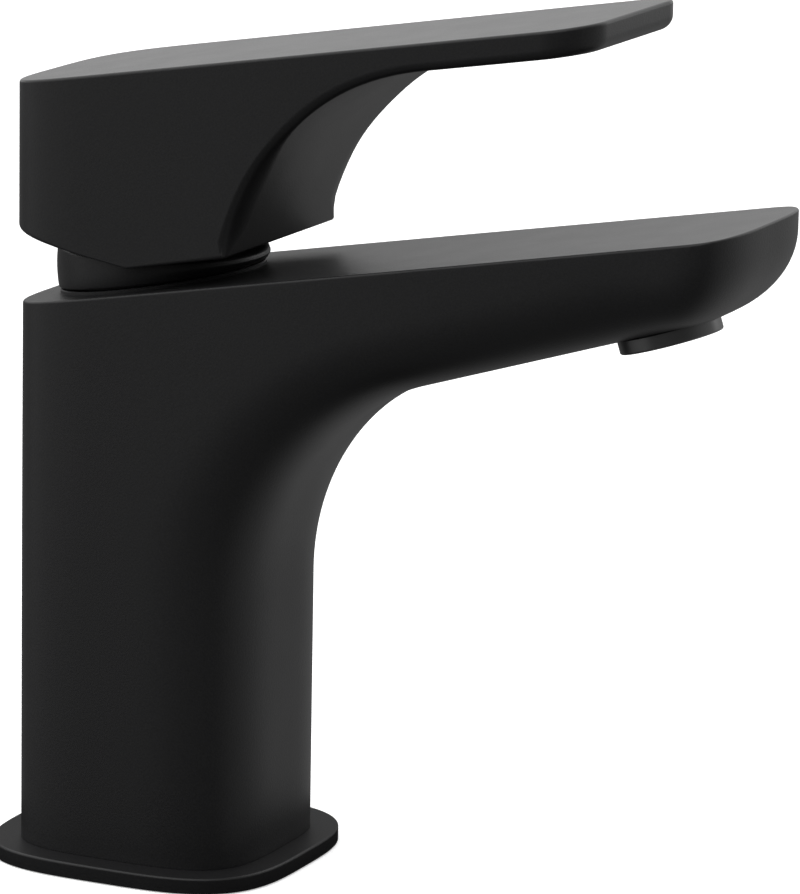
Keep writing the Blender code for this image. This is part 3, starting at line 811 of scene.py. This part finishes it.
def handle_mesh():
    """The handle's outer surface: walls with a rolled edge above and below, closed by two faces."""
    roof_in = Vector((0.0, HANDLE_SLOPE, -1.0)).normalized()
    corners, columns = [], []
    stations = handle_stations()
    for half, forward, plan_in, low, low_in in stations:
        wall_in = Vector((plan_in.x, plan_in.y, 0.0))
        floor_in = Vector((0.0, low_in.x, low_in.y))
        radius = lower_edge_radius(forward, low)
        edge = Vector((half, forward, low))
        if KINK[0] < forward < SCOOP_END:
            lower = long_fillet(edge, wall_in, floor_in, radius, lower_edge_reach(radius, low))
        else:
            lower = fillet(edge, wall_in, floor_in, radius)
        upper = fillet(Vector((half, forward, handle_top(forward))), wall_in, roof_in, HANDLE_TOP_EDGE, 6)
        line = list(reversed(lower)) + upper
        turn = len(lower)
        sides = []
        for way in (1, -1):
            sides.append(range(len(corners), len(corners) + len(line)))
            corners += [(way * point.x, point.y, point.z) for point in line]
        columns.append(sides)
    faces = []
    flat = [station[2].x < -0.999999 for station in stations]
    first, last = flat.index(True), len(flat) - 1 - flat[::-1].index(True)
    for side in (0, 1):
        wall = [columns[i][side][turn - 1] for i in range(first, last + 1)]
        wall += [columns[i][side][turn] for i in range(last, first - 1, -1)]
        faces.append(wall)
    for i, ((right, left), (next_right, next_left)) in enumerate(zip(columns, columns[1:])):
        for k in range(len(right) - 1):
            if k == turn - 1 and first <= i < last:
                continue
            faces.append([right[k], right[k + 1], next_right[k + 1], next_right[k]])
            faces.append([left[k + 1], left[k], next_left[k], next_left[k + 1]])
        faces.append([right[-1], left[-1], next_left[-1], next_right[-1]])
        faces.append([left[0], right[0], next_right[0], next_left[0]])
    for right, left in (columns[0], columns[-1]):
        for k in range(len(right) - 1):
            faces.append([right[k], right[k + 1], left[k + 1], left[k]])
    return build("lever_handle", corners, faces)


def handle(finish):
    """The block handle and its lever, hollowed over the collar, with a socket for the square stem."""
    lever = handle_mesh()
    hollow = [(0, HOLLOW_BOTTOM), (HOLLOW_RADIUS, HOLLOW_BOTTOM), (HOLLOW_RADIUS, HOLLOW_TOP)]
    hollow += [(POCKET_RADIUS, POCKET_TOP), (SOCKET_WALL_RADIUS, POCKET_TOP)]
    hollow += [(SOCKET_WALL_RADIUS, HOLLOW_TOP), (0, HOLLOW_TOP)]
    join(lever, turned("handle_hollow", hollow, at=(0, AXIS, 0)))
    levels = (HOLLOW_TOP - 2 * PAST, SOCKET_TOP)
    socket = [squircle(SOCKET_HALF, SOCKET_HALF, SOCKET_POWER, z) for z in levels]
    join(lever, loft("stem_socket", socket, at=(0, AXIS, 0)))
    for name, hole_size in (("screw_thread", SCREW_HOLE), ("cap_hole", CAP_HOLE)):
        hole = rod(name, *hole_size, at=(0, AXIS, SCREW_HEIGHT))
        lay_back(hole)
        join(lever, hole)
    show(lever, "handle", "lever", finish)


def screw_cap(finish):
    """The plug that hides the grub screw, a low dome with a rounded rim."""
    length = CAP_END - CAP_START
    profile = [(0, 0.0), (CAP_RADIUS - CAP_CHAMFER, 0.0), (CAP_RADIUS, CAP_CHAMFER)]
    for angle in arc(6):
        radius = CAP_RADIUS - CAP_RIM * (1 - math.cos(angle))
        profile.append((radius, length - CAP_DOME - CAP_RIM * (1 - math.sin(angle))))
    for i in range(1, 7):
        out = 1 - i / 6
        profile.append(((CAP_RADIUS - CAP_RIM) * out, length - CAP_DOME * out ** 2))
    cap = turned("screw_plug", profile, SMALL_ROUND, at=(0, -CAP_START, SCREW_HEIGHT))
    lay_back(cap)
    show(cap, "screw_cap", "lever", finish)


# Threads, outlet and fixings

def thread(radius, depth, pitch, low, high):
    """Rows of a threaded wall for `turned`, and the rule that gives its points their radius."""
    steps = round((high - low) / pitch * 8)
    rows = [(radius, low + (high - low) * i / steps) for i in range(steps + 1)]

    def reach(here, z, angle):
        if here != radius or not low < z < high:
            return here
        return radius - depth * (0.5 + 0.5 * math.cos(2 * math.pi * z / pitch - angle))

    return rows, reach


def soft_ring(inner, outer, low, high, edge):
    """A ring's profile with rounded edges."""
    rows = []
    for radius, z, start in ((outer, low, -1), (outer, high, 0), (inner, high, 1), (inner, low, 2)):
        middle = (radius - edge if radius == outer else radius + edge, z + edge if z == low else z - edge)
        for step in arc(4):
            angle = step + start * math.pi / 2
            rows.append((middle[0] + edge * math.cos(angle), middle[1] + edge * math.sin(angle)))
    return rows


def woven(radius, middle, wire, pitch):
    """Corners and faces of wires that pass over and under each other inside a circle."""
    corners, faces = [], []
    sides, half = 6, int(radius / pitch)
    for way in (0, 1):
        for row in range(-half, half + 1):
            off = row * pitch
            reach = math.sqrt(radius ** 2 - off ** 2)
            count = max(round(2 * reach / pitch * 3), 4)
            for i in range(count + 1):
                along = -reach + 2 * reach * i / count
                wave = wire * math.cos(math.pi * along / pitch + math.pi * (row + way))
                for k in range(sides):
                    angle = 2 * math.pi * k / sides
                    across, z = off + wire * math.cos(angle), middle + wave + wire * math.sin(angle)
                    corners.append((along, across, z) if way else (across, along, z))
            last = len(corners) - sides
            first = last - count * sides
            for low in range(first, last, sides):
                faces += band(low, low + sides, sides)
            faces += [ring_face(first, sides), ring_face(last, sides)]
    return corners, faces


def aerator(finishes):
    """The outlet's threaded ring, jet cup, woven screen and washer, square to the underside."""
    placing = {"at": (0, MOUTH, underside(MOUTH)), "tilt": -PITCH}
    rows, reach = thread(RING_THREAD_RADIUS, RING_THREAD_DEPTH, RING_PITCH, *RING_THREAD)
    foot, chamfer = -RING_DROP, 0.2
    profile = [(RING_LIP_RADIUS, RING_LIP), (RING_LIP_RADIUS, foot + chamfer)]
    profile += [(RING_LIP_RADIUS + chamfer, foot)]
    for angle in arc(6):
        radius = RING_RADIUS - RING_RIM * (1 - math.sin(angle))
        profile.append((radius, foot + RING_RIM * (1 - math.cos(angle))))
    profile += [(RING_RADIUS, RING_NECK / 2), (RING_RADIUS - RING_NECK / 2, RING_NECK)]
    profile += [(RING_THREAD_RADIUS, RING_NECK)] + rows + [(RING_THREAD_RADIUS - chamfer, RING_TOP)]
    profile += [(RING_WALL_RADIUS, RING_TOP), (RING_WALL_RADIUS, RING_LIP)]
    ring = turned("outlet_ring", profile, radius_at=reach, **placing)
    show(ring, "aerator_ring", "faucet_body", finishes["black_ring"])

    (inner, outer), (low, high), edge = CUP_RADII, CUP_HEIGHTS, 0.1
    cup = [(inner, low + edge), (inner + edge, low), (outer - edge, low), (outer, low + edge)]
    cup += [(outer, high - 2 * edge), (outer - 2 * edge, high), (0, high)]
    cup += [(0, high - CUP_WALL), (inner, high - CUP_WALL)]
    core = turned("jet_cup", cup, **placing)
    join(core, jets(placing))
    show(core, "aerator_core", "faucet_body", finishes["grey_plastic"])

    corners, faces = woven(*SCREEN)
    mesh_wires = build("screen_wires", corners, faces, **placing)
    rim = turned("screen_rim", soft_ring(*SCREEN_RIM), **placing)
    show(mesh_wires, "aerator_screen", "faucet_body", finishes["steel"], sharp=60.0)
    show(rim, "aerator_screen", "faucet_body", finishes["steel"])

    washer = turned("outlet_washer", soft_ring(*WASHER), **placing)
    show(washer, "aerator_washer", "faucet_body", finishes["rubber"])


def jets(placing):
    """A ring of round cutters for the cup's holes, as one tool."""
    corners, faces = [], []
    for turn in range(JET_COUNT):
        angle = 2 * math.pi * turn / JET_COUNT
        x, forward = JET_CIRCLE * math.cos(angle), JET_CIRCLE * math.sin(angle)
        low, high = len(corners), len(corners) + JET_SIDES
        for z in JET_CUT:
            for k in range(JET_SIDES):
                step = 2 * math.pi * k / JET_SIDES
                corners.append((x + JET_RADIUS * math.cos(step), forward + JET_RADIUS * math.sin(step), z))
        faces += [ring_face(low, JET_SIDES), ring_face(high, JET_SIDES)] + band(low, high, JET_SIDES)
    return build("jet_cutters", corners, faces, **placing)


def under_deck(finishes):
    """The threaded stud, the seal and clamp plate with softened edges, and the hexagon nut."""
    low, high, tip = STUD_LOW[2], STUD_HIGH[2], STUD_RADIUS - STUD_CHAMFER
    threaded = (low + STUD_CHAMFER, high - STUD_CHAMFER)
    rows, reach = thread(STUD_RADIUS, STUD_THREAD_DEPTH, STUD_PITCH, *threaded)
    profile = [(0, low), (tip, low)] + rows + [(tip, high), (0, high)]
    stud = turned("threaded_stud", profile, 40, radius_at=reach, at=(0, STUD_FORWARD, 0))
    show(stud, "mounting_stud", "faucet_body", finishes["steel"], sharp=50.0)

    for node, slot, edge in (("deck_seal", "rubber", 0.5), ("clamp_plate", "steel", 0.35)):
        bottom, top = (corner[2] for corner in extent(node))
        plate = rod(node + "_plate", HORSESHOE_RADIUS, bottom, top, ROUND)
        through = (bottom - PAST, top + PAST)
        slots = [squircle(*HOSE_SLOT, BOX_POWER, z, ROUND, centre=HOSE_SLOT_CENTRE) for z in through]
        join(plate, loft("hose_slot", slots))
        join(plate, rod("stud_clearance", STUD_RADIUS + GAP, *through, at=(0, STUD_FORWARD, 0)))
        soften(plate, edge)
        show(plate, node, "faucet_body", finishes[slot])

    low, high, bore = NUT_LOW[2], NUT_HIGH[2], STUD_RADIUS + GAP
    flat = NUT_CORNER * math.cos(math.pi / 6)
    rows, bore_reach = thread(bore, -NUT_THREAD_DEPTH, STUD_PITCH, low + NUT_LEAD_IN, high - NUT_LEAD_IN)
    chamfer = [(flat, 0.0), (flat + 0.35, 0.25), (NUT_CORNER - 0.25, 0.5), (NUT_CORNER, 0.75)]
    outside = [(radius, low + rise) for radius, rise in chamfer]
    outside += [(radius, high - rise) for radius, rise in reversed(chamfer)]
    inside = [(bore + NUT_CHAMFER, high)] + rows[::-1] + [(bore + NUT_CHAMFER, low)]

    def hexagon(radius, z, angle):
        """The radius of the hexagon's side at an angle, or of the thread inside it."""
        if radius < flat:
            return bore_reach(radius, z, angle)
        from_flat = (angle + math.pi / 6) % (math.pi / 3) - math.pi / 6
        return min(radius, flat / math.cos(from_flat))

    nut = turned("hex_nut", outside + inside, radius_at=hexagon, at=(0, STUD_FORWARD, 0))
    show(nut, "mounting_nut", "faucet_body", finishes["brass"], sharp=25.0)


def soften(item, width):
    """Round a piece's sharp edges."""
    step = item.modifiers.new("soft_edges", "BEVEL")
    step.width = width * MM
    step.segments = 3
    step.limit_method = "ANGLE"
    step.angle_limit = math.radians(40)
    settle(item)


# Finishes

def nodes_of(name):
    """A fresh Principled material and its nodes."""
    mat = bpy.data.materials.new(name)
    mat.use_nodes = True
    tree = mat.node_tree
    return mat, tree, tree.nodes["Principled BSDF"]


def noise(tree, scale, detail, stretch=(1.0, 1.0, 1.0)):
    """Noise on the object's own coordinates, in metres, with features about 1/scale metres across."""
    where = tree.nodes.new("ShaderNodeTexCoord")
    mapping = tree.nodes.new("ShaderNodeMapping")
    mapping.inputs["Scale"].default_value = stretch
    texture = tree.nodes.new("ShaderNodeTexNoise")
    texture.inputs["Scale"].default_value = scale
    texture.inputs["Detail"].default_value = detail
    tree.links.new(where.outputs["Object"], mapping.inputs["Vector"])
    tree.links.new(mapping.outputs["Vector"], texture.inputs["Vector"])
    return texture.outputs["Fac"]


def spread(tree, value, low, high):
    """A noise value spread between two numbers."""
    ranged = tree.nodes.new("ShaderNodeMapRange")
    ranged.inputs["From Min"].default_value = 0.3
    ranged.inputs["From Max"].default_value = 0.7
    ranged.inputs["To Min"].default_value = low
    ranged.inputs["To Max"].default_value = high
    tree.links.new(value, ranged.inputs["Value"])
    return ranged.outputs["Result"]


def tint(tree, shader, value, dark, light):
    """A base colour that a noise value varies between two."""
    mix = tree.nodes.new("ShaderNodeMix")
    mix.data_type = "RGBA"
    first, second = [socket for socket in mix.inputs if socket.type == "RGBA"]
    first.default_value = (*dark, 1.0)
    second.default_value = (*light, 1.0)
    tree.links.new(spread(tree, value, 0.0, 1.0), mix.inputs["Factor"])
    mixed = next(socket for socket in mix.outputs if socket.type == "RGBA")
    tree.links.new(mixed, shader.inputs["Base Color"])


def roughen(tree, shader, value, roughness, change):
    """A roughness that a noise value varies by a change either way."""
    varied = spread(tree, value, roughness - change, roughness + change)
    tree.links.new(varied, shader.inputs["Roughness"])


def bump(tree, shader, value, height, below=None):
    """Relief of the given height in metres; `below` is an earlier bump that it lies on."""
    node = tree.nodes.new("ShaderNodeBump")
    node.inputs["Strength"].default_value = 1.0
    node.inputs["Distance"].default_value = height
    tree.links.new(value, node.inputs["Height"])
    if below:
        tree.links.new(below.outputs["Normal"], node.inputs["Normal"])
    tree.links.new(node.outputs["Normal"], shader.inputs["Normal"])
    return node


def powder_coat(name, dark, light, roughness, grain, gloss):
    """Black powder coat: a fine even grain over a very faint slow ripple."""
    mat, tree, shader = nodes_of(name)
    shader.inputs["Specular IOR Level"].default_value = gloss
    fine = noise(tree, 2600.0, 3.0)
    slow = noise(tree, 120.0, 2.0)
    tint(tree, shader, fine, dark, light)
    roughen(tree, shader, slow, roughness, 0.01)
    ripple = bump(tree, shader, slow, 0.000004)
    bump(tree, shader, fine, grain, ripple)
    return mat


def metal(name, dark, light, roughness):
    """Machined metal with fine tool lines that run level, and slow tone changes."""
    mat, tree, shader = nodes_of(name)
    shader.inputs["Metallic"].default_value = 1.0
    tooling = noise(tree, 900.0, 3.0, (1.0, 1.0, 6.0))
    slow = noise(tree, 160.0, 3.0)
    tint(tree, shader, slow, dark, light)
    roughen(tree, shader, tooling, roughness, 0.08)
    bump(tree, shader, tooling, 0.000012)
    return mat


def moulded(name, dark, light, roughness, grain, gloss=0.5):
    """Moulded plastic, rubber or pressed ceramic, with a faint surface grain."""
    mat, tree, shader = nodes_of(name)
    shader.inputs["Specular IOR Level"].default_value = gloss
    fine = noise(tree, 1800.0, 2.0)
    slow = noise(tree, 140.0, 2.0)
    tint(tree, shader, slow, dark, light)
    roughen(tree, shader, fine, roughness, 0.05)
    bump(tree, shader, fine, grain)
    return mat


def make_finishes():
    """The record's material slots; colours are from dark to light, and grain heights are in metres."""
    return {
        "black_paint": powder_coat(
            "black_paint", (0.009, 0.009, 0.0095), (0.013, 0.013, 0.0135), 0.4, 0.00003, 0.25),
        "black_ring": powder_coat(
            "black_ring", (0.022, 0.022, 0.0225), (0.028, 0.028, 0.0285), 0.33, 0.00001, 1.0),
        "brass": metal("brass", (0.52, 0.36, 0.15), (0.62, 0.45, 0.2), 0.3),
        "steel": metal("steel", (0.5, 0.5, 0.51), (0.6, 0.6, 0.61), 0.28),
        "white_plastic": moulded("white_plastic", (0.72, 0.72, 0.69), (0.78, 0.78, 0.76), 0.42, 0.00001),
        "grey_plastic": moulded("grey_plastic", (0.28, 0.29, 0.31), (0.32, 0.33, 0.35), 0.48, 0.000015),
        "ceramic": moulded("ceramic", (0.84, 0.83, 0.79), (0.88, 0.87, 0.83), 0.16, 0.000003),
        "rubber": moulded("rubber", (0.022, 0.022, 0.022), (0.032, 0.032, 0.032), 0.7, 0.00003, 0.35),
    }


def finish_solids(finishes):
    """Every solid gets its slot's procedural finish, whether or not a detailed piece stands for it."""
    for part in frame["record"]["subparts"]:
        solid = frame["nodes"][part["node"]]
        solid.data.materials.clear()
        solid.data.materials.append(finishes[part["material_slot"]])


# Camera, floor and light

def make_camera():
    """A long lens beside and a little above the tap, looking across it towards the spout."""
    ahead = Vector((
        math.cos(CAMERA_YAW) * math.cos(CAMERA_PITCH),
        math.sin(CAMERA_YAW) * math.cos(CAMERA_PITCH),
        -math.sin(CAMERA_PITCH),
    ))
    level = Vector((math.sin(CAMERA_YAW), -math.cos(CAMERA_YAW), 0.0))
    upright = level.cross(ahead)
    right = math.cos(CAMERA_ROLL) * level + math.sin(CAMERA_ROLL) * upright
    up = right.cross(ahead)
    camera = bpy.data.objects.new("camera", bpy.data.cameras.new("camera"))
    camera.matrix_world = Matrix((
        (right.x, up.x, -ahead.x, CAMERA_AT[0] * MM),
        (right.y, up.y, -ahead.y, CAMERA_AT[1] * MM),
        (right.z, up.z, -ahead.z, CAMERA_AT[2] * MM),
        (0.0, 0.0, 0.0, 1.0),
    ))
    camera.data.lens = CAMERA_LENS
    camera.data.clip_start = 0.05
    bpy.context.scene.collection.objects.link(camera)
    bpy.context.scene.camera = camera


def grey_sheet(item, tone, roughness, gloss):
    """Give a flat stage piece an even grey, and return its shader."""
    mat, _, shader = nodes_of(item.name)
    shader.inputs["Base Color"].default_value = (tone, tone, tone, 1.0)
    shader.inputs["Roughness"].default_value = roughness
    shader.inputs["Specular IOR Level"].default_value = gloss
    item.data.materials.append(mat)
    return shader


def make_floor():
    """A plain white deck just under the foot plate; it lights nothing and shows in no reflection."""
    sides = ((-1, -1), (1, -1), (1, 1), (-1, 1))
    corners = [(x * FLOOR_REACH, forward * FLOOR_REACH, FLOOR_HEIGHT) for x, forward in sides]
    floor = build("floor", corners, [ring_face(0, 4)])
    shader = grey_sheet(floor, 0.9, 0.8, 0.1)
    shader.inputs["Emission Color"].default_value = (1.0, 1.0, 1.0, 1.0)
    shader.inputs["Emission Strength"].default_value = 0.45
    floor.visible_glossy = False
    floor.visible_diffuse = False
    floor.visible_shadow = False


def make_shade():
    """A dark disc just under the floor's face, so that no light comes up from below the foot plate."""
    edge = squircle(SHADE_RADIUS, SHADE_RADIUS, 2.0, SHADE_HEIGHT)
    shade = build("shade", edge, [ring_face(0, len(edge))])
    grey_sheet(shade, 0.01, 1.0, 0.0)
    shade.visible_camera = False


def make_world():
    """Even white to the camera; as light, a faint even glow with more from above, behind and ahead."""
    world = bpy.data.worlds.new("studio")
    bpy.context.scene.world = world
    world.use_nodes = True
    tree = world.node_tree
    tree.nodes.clear()
    where = tree.nodes.new("ShaderNodeTexCoord")

    def glow(way, start, full, strength):
        """Light that grows from nothing to its strength as a direction turns towards `way`."""
        toward = tree.nodes.new("ShaderNodeVectorMath")
        toward.operation = "DOT_PRODUCT"
        toward.inputs[1].default_value = Vector(way).normalized()
        tree.links.new(where.outputs["Generated"], toward.inputs[0])
        rise = tree.nodes.new("ShaderNodeMapRange")
        rise.interpolation_type = "SMOOTHSTEP"
        rise.inputs["From Min"].default_value = start
        rise.inputs["From Max"].default_value = full
        rise.inputs["To Min"].default_value = 0.0
        rise.inputs["To Max"].default_value = strength
        tree.links.new(toward.outputs["Value"], rise.inputs["Value"])
        return rise.outputs["Result"]

    def combine(operation, *values):
        """Two glows put together, or a glow and a number."""
        node = tree.nodes.new("ShaderNodeMath")
        node.operation = operation
        for socket, value in zip(node.inputs, values):
            if isinstance(value, float):
                socket.default_value = value
            else:
                tree.links.new(value, socket)
        return node.outputs["Value"]

    sky = combine("ADD", *[glow(*high) for high in HIGH_GLOWS])
    sky = combine("MULTIPLY", sky, glow(*HORIZON))
    total = combine("ADD", combine("ADD", glow(*LOW_GLOW), sky), EVEN_GLOW)
    light = tree.nodes.new("ShaderNodeBackground")
    tree.links.new(total, light.inputs["Strength"])
    seen = tree.nodes.new("ShaderNodeBackground")
    seen.inputs["Strength"].default_value = 1.0
    path = tree.nodes.new("ShaderNodeLightPath")
    mix = tree.nodes.new("ShaderNodeMixShader")
    tree.links.new(path.outputs["Is Camera Ray"], mix.inputs[0])
    tree.links.new(light.outputs["Background"], mix.inputs[1])
    tree.links.new(seen.outputs["Background"], mix.inputs[2])
    out = tree.nodes.new("ShaderNodeOutputWorld")
    tree.links.new(mix.outputs["Shader"], out.inputs["Surface"])
    for background in (light, seen):
        background.inputs["Color"].default_value = (1.0, 1.0, 1.0, 1.0)


def make_panel(name, bearing, distance, foot, width, height, glow):
    """A wide lamp that stands upright and faces the tap, out of the camera's sight."""
    bearing = math.radians(bearing)
    away = Vector((math.cos(bearing), math.sin(bearing), 0.0))
    lamp = bpy.data.lights.new(name, "AREA")
    lamp.shape = "RECTANGLE"
    lamp.size, lamp.size_y = width * MM, height * MM
    lamp.energy = glow * math.pi * lamp.size * lamp.size_y
    panel = bpy.data.objects.new(name, lamp)
    panel.location = (away * distance + Vector((0.0, 0.0, foot + height / 2))) * MM
    panel.rotation_euler = (-away).to_track_quat("-Z", "Y").to_euler()
    panel.visible_camera = False
    bpy.context.scene.collection.objects.link(panel)


make_camera()
finishes = make_finishes()
finish_solids(finishes)
body_casting(finishes["black_paint"])
base_flange(finishes["black_paint"])
collar(finishes["black_paint"])
handle(finishes["black_paint"])
screw_cap(finishes["black_paint"])
aerator(finishes)
under_deck(finishes)
base_gasket(finishes["rubber"])
make_floor()
make_shade()
make_world()
for panel in PANELS:
    make_panel(*panel)
bpy.context.scene.view_settings.view_transform = "Standard"
